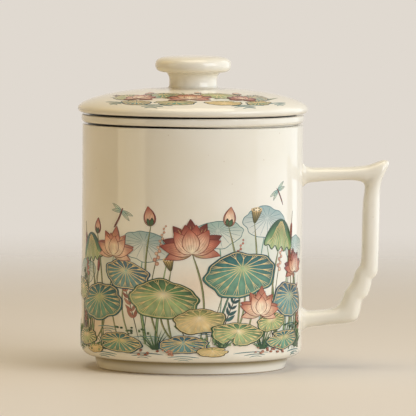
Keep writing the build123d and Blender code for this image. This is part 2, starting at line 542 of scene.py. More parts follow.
def leaf(brush, x, y, tilt, width, height, scheme, notch=None):
    """An open lotus leaf seen aslant, or a floating pad with a notch, with forked veins and a gilt edge."""
    eye, near_side, far_side, border, edge = LEAF_SCHEMES[scheme]
    spot = leaf_form(brush, x, y, tilt, width, height, notch)

    def tint(share, turn):
        far = smooth(-0.7, 0.8, sin(turn + 0.35))
        colour = blend(near_side, far_side, far)
        colour = blend(colour, border, smooth(0.45, 1, share) * (0.3 + 0.7 * far))
        colour = blend(colour, eye, (1 - smooth(0.02, 0.42, share)) * 0.85)
        between_veins = 0.5 - 0.5 * cos(LEAF_VEINS * turn)
        return blend(colour, eye, 0.25 * between_veins * smooth(0.2, 0.7, share) * (1 - 0.6 * far))

    shape = shell(spot, tint, LEAF_RINGS, LEAF_TURNS)
    lift = brush.fill("leaves", *shape, LEAF_CROWN + GILT_HEIGHT, wraps=True)
    brush.ink(lift, [spot(LEAF_EDGE_SHARE, turn) for turn in LEAF_TURNS], LEAF_EDGE_WIDTH, edge, closed=True)
    brush.gild(lift, [spot(LEAF_BAND_SHARE, turn) for turn in LEAF_TURNS], VEIN_WIDTH, GOLD, closed=True)
    for turn in circle(LEAF_VEINS):
        bend = brush.chance.uniform(-VEIN_BEND, VEIN_BEND)
        path = [spot(share, turn + bend * share) for share in steps(0.06, 0.92, 12)]
        brush.gild(lift, path, VEIN_WIDTH, GOLD)
        for side in (-1, 1):
            branch = []
            for share in steps(FORK_SHARE, 0.9, 9):
                swerve = side * FORK_TURN * (share - FORK_SHARE) / (1 - FORK_SHARE)
                branch.append(spot(share, turn + bend * share + swerve))
            brush.gild(lift, branch, FORK_WIDTH, GOLD)


def far_leaf(brush, x, y, shift, bow, tilt, width, height, colour):
    """A pale leaf far off: a thin tint, fuller on its far side, with fine veins and a fine outline."""
    stem(brush, x, y, shift, bow, FAR_STEM_WIDTH, blend(colour, TEAL, 0.5))
    spot = leaf_form(brush, x, y, tilt, width, height)
    thin, full = FAR_LEAF_STRENGTHS

    def wash(share, turn):
        return (*colour, thin + (full - thin) * smooth(-0.9, 0.9, share * sin(turn)))

    shape = [lattice(make, LEAF_RINGS, LEAF_TURNS) for make in (spot, wash)]
    lift = brush.fill("leaves", *shape, LEAF_CROWN + INK_HEIGHT, wraps=True)
    line = blend(colour, TEAL_DEEP, 0.45)
    brush.ink(lift, [spot(FAR_LEAF_EDGE_SHARE, turn) for turn in LEAF_TURNS], OUTLINE, line, closed=True)
    for turn in circle(LEAF_VEINS):
        brush.ink(lift, [spot(share, turn) for share in steps(0.08, 0.95, 10)], FINE_LINE, line)


# Leaves seen from the side, like a half-closed umbrella
HOOD_COLUMNS = steps(0.01, 0.99, 25)
HOOD_ROWS = steps(0, 1, 8)
HOOD_LOBES = 4.5
HOOD_VEINS = steps(0.08, 0.92, 11)


def hood_leaf(brush, x, y, tilt, width, height, scheme):
    """A young leaf seen from the side, with a scalloped hem and veins that run from its crown."""
    eye, near_side, far_side, border, edge = LEAF_SCHEMES[scheme]
    start = brush.chance.uniform(0, 2 * pi)

    def fold(across):
        return sin(2 * pi * HOOD_LOBES * across + start)

    def spot(rise, across):
        arch = sin(pi * across)
        crown = height * arch**0.62
        hem = height * (0.1 * fold(across) - 0.12) * arch**0.5
        place = tilted(x, y, tilt, (across - 0.5) * width, hem + (crown - hem) * rise)
        return (*place, LEAF_CROWN * sin(pi * rise) * arch)

    def tint(rise, across):
        colour = blend(near_side, far_side, smooth(0.15, 0.7, rise))
        colour = blend(colour, border, smooth(0.6, 1, rise))
        return blend(colour, eye, 0.45 * (0.5 + 0.5 * fold(across)) * (1 - smooth(0, 0.6, rise)))

    lift = brush.fill("leaves", *shell(spot, tint, HOOD_ROWS, HOOD_COLUMNS), LEAF_CROWN + GILT_HEIGHT)
    hem, crown = lattice(spot, (0, 1), HOOD_COLUMNS)
    brush.ink(lift, hem + crown[::-1], LEAF_EDGE_WIDTH, edge, closed=True)
    for end in HOOD_VEINS:
        path = [spot(0.97 - 0.9 * down, 0.5 + (end - 0.5) * down**0.8) for down in steps(0.04, 1, 8)]
        brush.gild(lift, path, VEIN_WIDTH, GOLD)


# Blossoms, buds and pods
PETAL_VEINS = (-0.62, -0.32, 0, 0.32, 0.62)
PETAL_SWAY = 4
PETAL_REACHES = (0.94, 1.04)
STAMENS = 11
STAMEN_FAN = 34
STAMEN_REACHES = (0.72, 0.8)

# Each petal has its angle, length, width, curl and row, back to front
BLOSSOM_BACK = (
    (-30, 0.94, 0.38, -6, "back"), (30, 0.94, 0.38, 6, "back"), (0, 1.00, 0.40, 0, "back"),
    (-56, 0.95, 0.36, -16, "back"), (56, 0.95, 0.36, 16, "back"),
    (-88, 0.80, 0.28, -26, "low"), (88, 0.80, 0.28, 26, "low"),
)
BLOSSOM_FRONT = (
    (-72, 0.92, 0.34, -4, "side"), (72, 0.92, 0.34, 4, "side"),
    (-16, 0.82, 0.42, 8, "side"), (16, 0.82, 0.42, -8, "side"),
    (-46, 0.78, 0.40, 16, "front"), (46, 0.78, 0.40, -16, "front"), (0, 0.66, 0.44, 0, "front"),
)
BUD_PETALS = ((-13, 0.88, 0.46, 14, "side"), (13, 0.88, 0.46, -14, "back"), (0, 1.0, 0.48, 0, "front"))
SEPAL_TINTS = (OLIVE, GREEN, GREEN_DEEP)

# Each petal scheme has the colours of its foot, middle and tip
PETAL_SCHEMES = {
    "rust": {
        "back": (RUST_PALE, RUST, RUST_DEEP), "low": (GREEN_PALE, RUST_PALE, RUST),
        "side": (CREAM, (210, 142, 112), (140, 62, 48)), "front": (CREAM, (234, 190, 158), (164, 80, 60)),
    },
    "peach": {
        "back": (PEACH, (214, 158, 122), (156, 82, 60)), "low": (GREEN_PALE, PEACH, RUST_PALE),
        "side": (CREAM, (234, 196, 160), (180, 104, 78)), "front": (CREAM, (244, 220, 188), (204, 132, 100)),
    },
}


def petal(brush, stroke, width, tints):
    """A pointed petal with fine veins and a dark outline."""
    foot, middle, tip = tints

    def tint(along, side):
        colour = blend(foot, middle, smooth(0.05, 0.6, along))
        colour = blend(colour, tip, smooth(0.5, 1, along))
        return blend(colour, tip, 0.3 * abs(side) ** 3)

    lift, path = frond(brush, "petals", PETAL, stroke, width, tint)
    for side in PETAL_VEINS:
        brush.ink(lift, path(side, 0.1, 0.88 - 0.2 * abs(side), 7), FINE_LINE, blend(middle, tip, 0.7))
    for side in (-1, 1):
        brush.ink(lift, path(side, 0, 1, 14), OUTLINE, blend(tip, RUST_DEEP, 0.75))


def blossom(brush, x, y, lean, size, scheme):
    """An open lotus blossom seen from the side, with stamens between its back and front petals."""
    def draw_petals(petals):
        for angle, length, width, curl, row in petals:
            turn = angle + lean + brush.chance.uniform(-PETAL_SWAY, PETAL_SWAY)
            reach = size * length * brush.chance.uniform(*PETAL_REACHES)
            petal(brush, ((x, y), turn, reach, curl), size * width, PETAL_SCHEMES[scheme][row])

    shells = len(BLOSSOM_BACK) + len(BLOSSOM_FRONT)
    brush.open_cluster(grid_spots(x, y + size * 0.4, size * 2.1, size * 1.2), shells, PETAL_STEP)
    draw_petals(BLOSSOM_BACK)
    for angle in steps(-STAMEN_FAN, STAMEN_FAN, STAMENS):
        stroke = ((x, y), angle + lean, size * brush.chance.uniform(*STAMEN_REACHES), 0)
        brush.gild(brush.cluster, arc_spots(stroke, 0.5, 1, 4), STAMEN_WIDTH, OCHRE)
    draw_petals(BLOSSOM_FRONT)
    brush.close_cluster()


def bud(brush, x, y, lean, size, scheme):
    """A closed bud with two small sepals."""
    for angle, length, width, curl, row in BUD_PETALS:
        petal(brush, ((x, y), angle + lean, size * length, curl), size * width, PETAL_SCHEMES[scheme][row])
    for side in (-1, 1):
        petal(brush, ((x, y), lean + 30 * side, size * 0.42, -24 * side), size * 0.2, SEPAL_TINTS)


POD_PITS = 7
POD_TOP_AROUND = 24


def seed_pod(brush, x, y, lean, size):
    """A conical seed pod with pits in its flat top."""
    def tint(along, side):
        return blend(blend(OLIVE, OCHRE, along), OLIVE_DARK, 0.5 * abs(side) ** 3)

    lift, path = frond(brush, "petals", POD, ((x, y), lean, size, 0), size * 0.95, tint)
    for side in NARROW_SIDES:
        brush.ink(lift, path(side, 0.05, 0.98, 6), POD_LINE, OLIVE_DARK)
    top_x, top_y, _ = path(0, 0, 1, 2)[-1]
    disc(brush, "petals", top_x, top_y, size * 0.98, size * 0.34,
         lambda share: blend(CREAM, OCHRE, share * share), POD_TOP_AROUND)
    for turn in circle(POD_PITS):
        disc(brush, "petals", top_x + 0.3 * size * cos(turn), top_y + 0.1 * size * sin(turn),
             size * 0.14, size * 0.08, lambda share: blend(OLIVE_DARK, OLIVE, share))


# Reeds, sprays and water
REED_WIDTH = 1.5
REED_WIDTHS = (1.2, 1.8)
REED_TINTS = ((OLIVE, GREEN), (GREEN_DEEP, TEAL), (GREEN, GREEN_PALE))
BLADE_WIDTH = 0.62
BLADE_SWAY = 6
BLADE_REACHES = (0.6, 1)
TUFT_FAN = 46


def reed(brush, x, y, angle, curl, length, width=REED_WIDTH, tints=REED_TINTS[0]):
    """A long blade of reed with a paler midrib."""
    def tint(along, side):
        return blend(blend(*tints, along), OLIVE_DARK, 0.35 * abs(side))

    lift, path = frond(brush, "grasses", REED, ((x, y), angle, length, curl), width, tint)
    brush.ink(lift, path(0.05, 0.02, 0.9, 16), MIDRIB_WIDTH, blend(tints[1], GREEN_PALE, 0.6))


def pond_reed(brush, *row):
    """A reed of any width and colour."""
    reed(brush, *row, brush.chance.uniform(*REED_WIDTHS), brush.chance.choice(REED_TINTS))


def tuft(brush, x, y, count, length):
    """A tuft of grass at the water."""
    brush.open_cluster(grid_spots(x, y + length / 2, length * 1.3, length), count)
    for angle in steps(-TUFT_FAN, TUFT_FAN, count):
        turn = angle + brush.chance.uniform(-BLADE_SWAY, BLADE_SWAY)
        reach = length * brush.chance.uniform(*BLADE_REACHES) * (1 - abs(angle) / 140)
        tone = brush.chance.random()
        frond(brush, "grasses", BLADE, ((x + angle * 0.02, y), turn, reach, turn * 0.6), BLADE_WIDTH,
              lambda along, side: blend(GREEN_DEEP, GREEN_PALE, along * tone))
    brush.close_cluster()


CATTAIL_HEAD_START = 0.72
CATTAIL_HEAD_SHARE = 0.2
CATTAIL_HEAD_WIDTH = 1.9


def cattail(brush, x, y, angle, curl, length):
    """A reed mace: a thin stalk, a velvety head and a spike."""
    def tint(along, side):
        return blend(blend(RUST_DEEP, RUST, 0.5 - 0.5 * side), OLIVE_DARK, 0.35 * side * side)

    stroke = ((x, y), angle, length, curl)
    brush.line(arc_spots(stroke, 0, 1, 24), CATTAIL_STALK, OLIVE)
    *base, heading = arc(*stroke, CATTAIL_HEAD_START)
    head = (base, degrees(heading), length * CATTAIL_HEAD_SHARE, curl * CATTAIL_HEAD_SHARE)
    frond(brush, "petals", CATTAIL, head, CATTAIL_HEAD_WIDTH, tint)


LEAFLETS_FROM = 0.3
LEAFLET_ANGLES = (40, 56)
LEAFLET_REACHES = (0.85, 1.1)
LEAFLET_CURL = 24
LEAFLET_WIDTH = 0.31


def spray(brush, x, y, angle, curl, length, pairs, size, *tints):
    """A leafy stalk with paired leaflets, smaller towards its tip."""
    stroke = ((x, y), angle, length, curl)
    brush.line(arc_spots(stroke, 0, 1, 20), SPRAY_STALK, OLIVE_DARK)
    under = [spot for shift in (-size / 2, 0, size / 2)
             for spot in arc_spots(((x + shift, y), *stroke[1:]), LEAFLETS_FROM, 1.1, 24)]
    brush.open_cluster(under, 2 * pairs)
    for along in steps(LEAFLETS_FROM, 0.98, pairs):
        *foot, heading = arc(*stroke, along)
        for side in (-1, 1):
            turn = degrees(heading) + side * brush.chance.uniform(*LEAFLET_ANGLES)
            reach = size * (1.25 - 0.75 * along) * brush.chance.uniform(*LEAFLET_REACHES)
            colour = blend(*tints, brush.chance.random())
            leaflet = (foot, turn, reach, -side * LEAFLET_CURL)
            lift, path = frond(brush, "grasses", LEAFLET, leaflet, reach * LEAFLET_WIDTH,
                               lambda share, edge: blend(colour, OLIVE_DARK, 0.3 * abs(edge)))
            brush.ink(lift, path(0, 0, 0.9, 5), LEAFLET_RIB_WIDTH, blend(colour, OLIVE_DARK, 0.7))
    brush.close_cluster()


BEADS_FROM = 0.68
BEAD_SIZE = 1.25
BEAD_SWING = 0.5


def flower_spike(brush, x, y, angle, curl, length, beads, *tints):
    """A thin stalk that ends in a spike of small round flowers."""
    stroke = ((x, y), angle, length, curl)
    brush.line(arc_spots(stroke, 0, 1, 20), SPIKE_STALK, OLIVE)
    brush.open_cluster(arc_spots(stroke, 0.66, 1.04, 16), beads)
    for i in range(beads):
        along = BEADS_FROM + 0.32 * i / (beads - 1)
        bead_x, bead_y, heading = arc(*stroke, along)
        swing = (-1) ** i * BEAD_SWING * (1.2 - (along - BEADS_FROM) * 2.4)
        size = BEAD_SIZE * (1.35 - (along - BEADS_FROM) * 2.2)
        tone = brush.chance.random()
        disc(brush, "petals", bead_x + swing * cos(heading), bead_y - swing * sin(heading), size, size,
             lambda share: blend(blend(*tints, tone), RUST_DEEP, 0.5 * share * share))
    brush.close_cluster()


# Each stroke of a ripple has its share of the length, its drop and its width
RIPPLE_STROKES = ((1, 0, 0.3), (0.62, -0.85, 0.25), (0.36, -1.6, 0.2))
RIPPLE_TINTS = (TEAL, (96, 138, 138), BLUE)
RIPPLE_SAG = 0.5


def ripple(brush, x, y, length, colour=TEAL):
    """A few strokes of still water, one below the other."""
    for share, drop, width in RIPPLE_STROKES:
        middle = x + brush.chance.uniform(-0.1, 0.1) * length
        half = share * length / 2
        path = [(middle + half * side, y + drop - RIPPLE_SAG * side * side, 0) for side in steps(-1, 1, 16)]
        brush.line(path, width, colour)


def pond_ripple(brush, *row):
    """A ripple of any colour."""
    ripple(brush, *row, brush.chance.choice(RIPPLE_TINTS))


WEED_SIZES = (0.7, 1.4)
WEED_HEIGHT = 0.62


def duckweed(brush, x, y, spread, count, *tints):
    """A drift of tiny round leaves."""
    brush.open_cluster(grid_spots(x, y, 4 * spread, spread), count)
    for _ in range(count):
        across = x + brush.chance.uniform(-2, 2) * spread
        up = y + brush.chance.uniform(-0.35, 0.35) * spread
        size = brush.chance.uniform(*WEED_SIZES)
        tone = brush.chance.random()
        disc(brush, "grasses", across, up, size, size * WEED_HEIGHT,
             lambda share: blend(blend(*tints, tone), OLIVE_DARK, 0.3 * share))
    brush.close_cluster()


# Each wing has its angle and its length
WINGS = ((-78, 0.62), (78, 0.62), (-104, 0.56), (104, 0.56))


def dragonfly(brush, x, y, lean, size):
    """A dragonfly with four gauzy wings."""
    for angle, length in WINGS:
        stroke = ((x, y), angle + lean, size * length, 8 * angle / 78)
        lift, path = frond(brush, "petals", WING, stroke, size * 0.15,
                           lambda along, side: blend(TEAL_PALE, CREAM, along))
        for side in (-1, 0, 1):
            brush.ink(lift, path(side, 0, 1, 10), WING_LINE, TEAL)
    brush.line(arc_spots(((x, y), lean + 180, size * 0.8, 14), -0.18, 1, 12), DRAGONFLY_BODY, RUST_DEEP)


# The pond on the wall. Each row starts with the place, across from the pond's middle and up from the table,
# and goes on as its motif takes it.
POND_WASHES = (
    (-44, 17, 46, 24, PEACH, 0.75), (-12, 14, 50, 18, TEAL_MIST, 0.85), (22, 17, 46, 22, PEACH, 0.7),
    (46, 16, 30, 22, TEAL_MIST, 0.85), (-30, 41, 44, 34, TEAL_MIST, 0.7), (22, 48, 56, 38, TEAL_MIST, 0.7),
    (2, 34, 36, 22, PEACH, 0.55),
)
POND_FAR_LEAVES = (
    (-53, 38, 1, 2, 8, 17, 10, (112, 158, 152)), (-19, 49, 2, -2, -7, 21, 11.5, (106, 152, 152)),
    (10, 54, -1, 2, 7, 20, 10.5, (122, 164, 150)), (31, 58, -2, -3, -6, 22, 12, (106, 152, 154)),
    (50, 47, -1, 1, 6, 15, 10, (118, 160, 148)),
)
POND_REEDS = (
    (-56, 9, 2, 2, 30), (-53, 9, 3, 10, 37), (-50, 9, 7, 14, 32), (-45, 9, -6, -16, 28),
    (-18, 12, -7, -14, 34), (-14, 11, 3, 12, 40), (37, 11, -4, -10, 42), (41, 10, 2, 8, 47),
    (45, 9, 5, 8, 36), (50, 9, 4, 6, 28), (53, 9, -4, -12, 22), (9, 12, 9, 22, 30),
)
POND_CATTAILS = ((-51, 9, -1, -4, 48), (-46, 9, 4, 8, 41), (42, 9, 3, 6, 53), (48, 9, -2, -6, 44))
POND_SPRAYS = (
    (-54, 10, 2, 8, 22, 8, 3.6, RUST_DEEP, RUST), (-47, 12, -9, -16, 27, 8, 3.8, GREEN_DEEP, GREEN),
    (-21, 14, -14, -10, 27, 8, 4.0, RUST, RUST_PALE), (11, 14, 16, 14, 25, 8, 3.8, TEAL_DEEP, TEAL),
    (35, 12, -12, -12, 24, 8, 3.6, RUST_DEEP, RUST), (54, 9, -2, -6, 24, 8, 3.8, RUST, RUST_PALE),
    (-2, 13, -18, -16, 18, 6, 3.4, GREEN, GREEN_PALE),
)
POND_SPIKES = (
    (-50, 10, -1, -4, 40, 13, RUST, RUST_PALE), (-19, 12, 5, 12, 46, 13, RUST_PALE, PEACH),
    (7, 13, 12, 14, 41, 12, RUST, RUST_PALE), (33, 12, 6, 10, 42, 12, RUST_PALE, PEACH),
    (52, 10, -5, -8, 40, 12, RUST, RUST_PALE),
)

# Heads on stems. After the place comes how far aside the stem's foot stands and how far the stem bows.
POND_LEAVES = (
    (-41, 27, -3, 4, 6, 26, 14, "teal"), (-11, 29, 5, -3, -5, 28, 15, "green"),
    (20, 38.5, -5, 3, 5, 31, 17, "teal"), (45, 28, -4, 2, -7, 21, 13, "blue"),
    (-27, 38, 3, -3, -9, 21, 11, "blue"), (3, 21, 3, 1, 4, 20, 9.5, "ochre"),
    (-57, 31, -1, 1, -6, 14, 8, "green"), (34, 20, 1, 1, 6, 15, 7, "green"),
)
POND_HOODS = ((-47, 44, -2, 3, 6, 15, 9, "green"), (38, 49, -2, -3, -8, 17, 10, "green"))
POND_BLOSSOMS = (
    (0, 47, 3, 3, -4, 13.5, "rust"), (-33, 45.5, 3, -3, 6, 10.5, "peach"),
    (28, 23.5, -1, 1, 5, 10.5, "peach"), (49, 39, -2, 2, -8, 8.5, "rust"),
)
POND_BUDS = (
    (-16, 57, 4, -4, -10, 7.5, "rust"), (14, 57, 3, 3, 8, 7.5, "peach"), (-43, 53, 3, 2, 6, 6.0, "rust"),
)
POND_PODS = ((25, 58, -4, 3, 12, 5.2), (-8, 40, 1, -2, -14, 4.4))
POND_HEADS = POND_LEAVES + POND_HOODS + POND_BLOSSOMS + POND_BUDS + POND_PODS

# What lies on the water
POND_PADS = (
    (-52, 13, 3, 18, 6.4, "green", 60), (-30, 12, -3, 21, 7.4, "teal", 200),
    (-3, 12, 2, 19, 6.6, "blue", 320), (18, 16, -3, 22, 8.4, "green", 250),
    (41, 13, 3, 20, 7.0, "teal", 140), (8, 9.4, 0, 12, 3.4, "ochre", 20), (-44, 9, 2, 11, 3.0, "ochre", 170),
)
POND_TUFTS = (
    (-58, 9.5, 9, 10), (-38, 9, 9, 9), (-14, 10, 11, 11), (12, 11, 9, 9), (29, 10, 11, 11), (51, 9.5, 9, 10),
)
POND_RIPPLES = (
    (-58, 9.6, 10), (-38, 7.9, 16), (-19, 8.6, 14), (-16, 15, 12), (-2, 7.6, 12), (25, 9, 16), (30, 12.4, 9),
    (50, 8.6, 11), (-36, 18, 12), (6, 17, 9), (46, 19, 9),
)
POND_WEED = (
    (-49, 10.2, 5, 22, GREEN, GREEN_PALE), (-24, 17, 4, 18, GREEN_DEEP, GREEN),
    (10, 13, 5, 22, GREEN, GREEN_PALE), (33, 9.6, 4, 18, RUST, RUST_PALE),
    (-13, 9.4, 4, 18, RUST, RUST_PALE), (48, 18, 3, 14, GREEN_DEEP, GREEN),
)
POND_DRAGONFLIES = ((-29, 62, 24, 9), (37, 70, -36, 8))

# The posies on the lid, front and back, across from their middle and up from a ring on the dome
POSIES = 2
LID_WASHES = ((-8, -3, 32, 18, PEACH, 0.6), (16, -4, 32, 16, TEAL_MIST, 0.7))
LID_REEDS = (
    (-8, -5, -60, -14, 14), (7, -5, 60, 16, 14), (-21, -8, -76, -12, 11), (24, -8, 74, 12, 10),
    (-3, 0, -14, -20, 7), (5, 0, 16, 18, 7),
)
LID_SPRAYS = (
    (-22, -6, -70, -16, 11, 6, 2.8, RUST_DEEP, RUST), (15, -5, 62, 18, 13, 6, 2.8, GREEN_DEEP, GREEN),
)
LID_LEAVES = (
    (-12, 0, 7, 15, 9, "teal"), (10, 0, -7, 16, 9, "green"), (22, -5, 9, 12, 7.5, "blue"),
    (-24, -5, -8, 12, 7, "green"), (-5, -9.5, 2, 12, 4.4, "teal", 200), (9, -9.8, -4, 11, 4.0, "ochre", 40),
    (20, -10.4, 3, 9, 3.6, "teal", 20), (-17, -10.4, -2, 10, 3.8, "blue", 150),
)
LID_BUDS = ((18, 0.5, 40, 5.5, "peach"), (-18, 1, -46, 5.5, "rust"), (2, 3.5, 6, 5, "peach"))
LID_BLOSSOMS = ((-1, -5.5, 0, 9, "rust"), (-18, -6.5, -10, 6.2, "peach"), (16, -6.8, 12, 5.6, "rust"))
LID_RIPPLES = ((-11, -11.9, 10), (15, -12, 10), (-24, -10.8, 8), (27, -11, 8))


def heads(rows):
    """Rows of heads without what they say of their stems."""
    return [row[:2] + row[4:] for row in rows]


# Motifs in the order in which they are drawn, with how many values after the place turn round in a mirror
POND = (
    (far_leaf, 3, POND_FAR_LEAVES),
    (pond_reed, 2, POND_REEDS),
    (cattail, 2, POND_CATTAILS),
    (flower_spike, 2, POND_SPIKES),
    (stem, 2, [row[:4] for row in POND_HEADS]),
    (spray, 2, POND_SPRAYS),
    (seed_pod, 1, heads(POND_PODS)),
    (hood_leaf, 1, heads(POND_HOODS)),
    (leaf, 1, heads(sorted(POND_LEAVES, key=lambda row: -row[1]))),
    (bud, 1, heads(POND_BUDS)),
    (blossom, 1, heads(POND_BLOSSOMS)),
    (pond_ripple, 0, POND_RIPPLES),
    (tuft, 0, POND_TUFTS),
    (leaf, 1, POND_PADS),
    (duckweed, 0, POND_WEED),
    (dragonfly, 1, POND_DRAGONFLIES),
)
POSY = (
    (reed, 2, LID_REEDS),
    (spray, 2, LID_SPRAYS),
    (leaf, 1, LID_LEAVES),
    (bud, 1, LID_BUDS),
    (blossom, 1, LID_BLOSSOMS),
    (ripple, 0, LID_RIPPLES),
)


def draw(brush, washes, motifs, middle, facing=1):
    """A ground and the motifs on it. It faces 1 as laid out, or -1 as its mirror image."""
    ground(brush, [(middle + facing * x, *rest) for x, *rest in washes])
    for motif, turning, rows in motifs:
        for x, y, *rest in rows:
            turned = [facing * value for value in rest[:turning]]
            motif(brush, middle + facing * x, y, *turned, *rest[turning:])


# Handle: rows of inner reach, inner rise, outer reach, outer rise and width, all as shares
HANDLE_REACH = 0.03335
HANDLE_LOW = 0.02005
HANDLE_RISE = 0.0551
HANDLE_WIDTH = 0.010
HANDLE_ROWS = (
    (-0.060, 0.884, -0.060, 1.091, 1.12),
    (0.004, 0.905, 0.004, 1.071, 1.06),
    (0.036, 0.923, 0.036, 1.052, 1.02),
    (0.080, 0.934, 0.080, 1.043, 1.00),
    (0.150, 0.939, 0.150, 1.040, 0.98),
    (0.288, 0.947, 0.288, 1.042, 0.96),
    (0.542, 0.953, 0.548, 1.046, 0.96),
    (0.640, 0.948, 0.732, 1.057, 0.96),
    (0.680, 0.941, 0.823, 1.074, 0.96),
    (0.700, 0.932, 0.894, 1.090, 0.95),
    (0.708, 0.925, 0.948, 1.095, 0.94),
    (0.712, 0.916, 0.988, 1.085, 0.94),
    (0.714, 0.907, 0.990, 1.062, 0.95),
    (0.713, 0.890, 0.967, 1.025, 0.96),
    (0.705, 0.852, 0.915, 0.952, 0.98),
    (0.696, 0.805, 0.894, 0.870, 1.00),
    (0.690, 0.740, 0.892, 0.770, 1.00),
    (0.687, 0.642, 0.890, 0.642, 1.00),
    (0.681, 0.433, 0.881, 0.413, 1.00),
    (0.667, 0.363, 0.873, 0.312, 1.00),
    (0.639, 0.336, 0.845, 0.278, 0.98),
    (0.613, 0.310, 0.812, 0.256, 0.96),
    (0.583, 0.254, 0.791, 0.203, 0.97),
    (0.536, 0.207, 0.758, 0.147, 0.98),
    (0.506, 0.185, 0.715, 0.121, 0.97),
    (0.485, 0.160, 0.693, 0.100, 0.96),
    (0.462, 0.120, 0.675, 0.047, 0.97),
    (0.417, 0.074, 0.639, -0.020, 0.98),
    (0.336, 0.052, 0.535, -0.046, 0.97),
    (0.185, 0.040, 0.268, -0.063, 0.96),
    (0.093, 0.036, 0.105, -0.075, 1.00),
    (0.047, 0.041, 0.048, -0.085, 1.02),
    (0.012, 0.055, 0.014, -0.101, 1.06),
    (-0.047, 0.080, -0.044, -0.127, 1.12),
)
HANDLE_STEPS = 6
HANDLE_AROUND = 48
HANDLE_FULLNESS = 0.84


def between(rows, place):
    """A row of numbers on the smooth curve through the rows, at a place counted in rows."""
    first = min(int(place), len(rows) - 2)
    t = place - first
    corners = (rows[min(max(first + i, 0), len(rows) - 1)] for i in (-1, 0, 1, 2))
    return [
        0.5 * (2 * b + (c - a) * t + (2 * a - 5 * b + 4 * c - d) * t**2 + (3 * b - a - 3 * c + d) * t**3)
        for a, b, c, d in zip(*corners)
    ]


def fuller(value):
    """A sine or cosine of a section a little squarer than an oval."""
    return abs(value) ** HANDLE_FULLNESS * (1 if value > 0 else -1)


def make_handle(material):
    """The handle as one smooth closed form, with rounded sections that flare into the wall."""
    form = Form()
    rings = []
    for i in range((len(HANDLE_ROWS) - 1) * HANDLE_STEPS + 1):
        in_reach, in_rise, out_reach, out_rise, width = between(HANDLE_ROWS, i / HANDLE_STEPS)
        inner = Vector((wall_radius + in_reach * HANDLE_REACH, 0, HANDLE_LOW + in_rise * HANDLE_RISE))
        outer = Vector((wall_radius + out_reach * HANDLE_REACH, 0, HANDLE_LOW + out_rise * HANDLE_RISE))
        first = len(form.places)
        for turn in circle(HANDLE_AROUND):
            place = (inner + outer) / 2 + (outer - inner) / 2 * fuller(cos(turn))
            place.y = width * HANDLE_WIDTH / 2 * fuller(sin(turn))
            form.places.append(place)
        rings.append(range(first, len(form.places)))
    form.faces = [tuple(rings[0]), tuple(rings[-1])]
    for near, far in zip(rings, rings[1:]):
        form.strip(near, far)
    piece = form.build("handle_form", "mug", "body_glaze", material)
    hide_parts("handle")


# Materials
class Nodes:
    """A node tree, with short ways to add to it."""

    def __init__(self, tree):
        self.tree = tree

    def add(self, kind, inputs=(), **settings):
        made = self.tree.nodes.new(kind)
        for name, value in settings.items():
            setattr(made, name, value)
        for name, value in dict(inputs).items():
            self.put(made.inputs[name], value)
        return made

    def put(self, socket, value):
        if isinstance(value, bpy.types.NodeSocket):
            self.tree.links.new(value, socket)
        else:
            socket.default_value = value

    def math(self, operation, first, second):
        made = self.add("ShaderNodeMath", operation=operation)
        self.put(made.inputs[0], first)
        self.put(made.inputs[1], second)
        return made.outputs[0]

    def mix(self, first, second, share, kind="MIX"):
        made = self.add("ShaderNodeMix", data_type="RGBA", blend_type=kind)
        self.put(made.inputs["Factor"], share)
        self.put(made.inputs["A"], first)
        self.put(made.inputs["B"], second)
        return made.outputs["Result"]


class Finish(Nodes):
    """A material's node tree, with the sockets of its shader at hand."""

    def __init__(self, name):
        self.material = bpy.data.materials.new(name)
        self.material.use_nodes = True
        super().__init__(self.material.node_tree)
        self.shader = self.tree.nodes["Principled BSDF"].inputs
        self.place = self.add("ShaderNodeTexCoord").outputs["Object"]

    def set(self, name, value):
        self.put(self.shader[name], value)

    def axes(self):
        return self.add("ShaderNodeSeparateXYZ", {"Vector": self.place}).outputs

    def length(self, vector):
        return self.add("ShaderNodeVectorMath", {"Vector": vector}, operation="LENGTH").outputs["Value"]

    def noise(self, scale, detail):
        inputs = {"Vector": self.place, "Scale": scale, "Detail": detail}
        return self.add("ShaderNodeTexNoise", inputs).outputs["Fac"]

    def step(self, value, low, high, first=0, last=1):
        inputs = {"Value": value, "From Min": low, "From Max": high, "To Min": first, "To Max": last}
        return self.add("ShaderNodeMapRange", inputs, interpolation_type="SMOOTHSTEP").outputs["Result"]

    def bump(self, height, distance, under=None):
        made = self.add("ShaderNodeBump", {"Height": height, "Distance": distance, "Strength": 1.0})
        if under is not None:
            self.put(made.inputs["Normal"], under)
        return made.outputs["Normal"]


TONE_SCALE = 26
TONE_RANGE = (0.36, 0.64)
SPECK_SCALE = 330
SPECK_CHANCE = (0.90, 0.92)
SPECK_EDGE = (0.05, 0.11)
SPECK_STRENGTH = 0.4
WAVE_SCALE = 34
WAVE_DEPTH = 0.00006
PEEL_SCALE = 900
PEEL_DEPTH = 0.0000025
GLOSS_SCALE = 70
GLOSS_RANGE = (0.3, 0.7)
GLAZE_ROUGHNESS = (0.05, 0.10)
GLAZE_IOR = 1.52


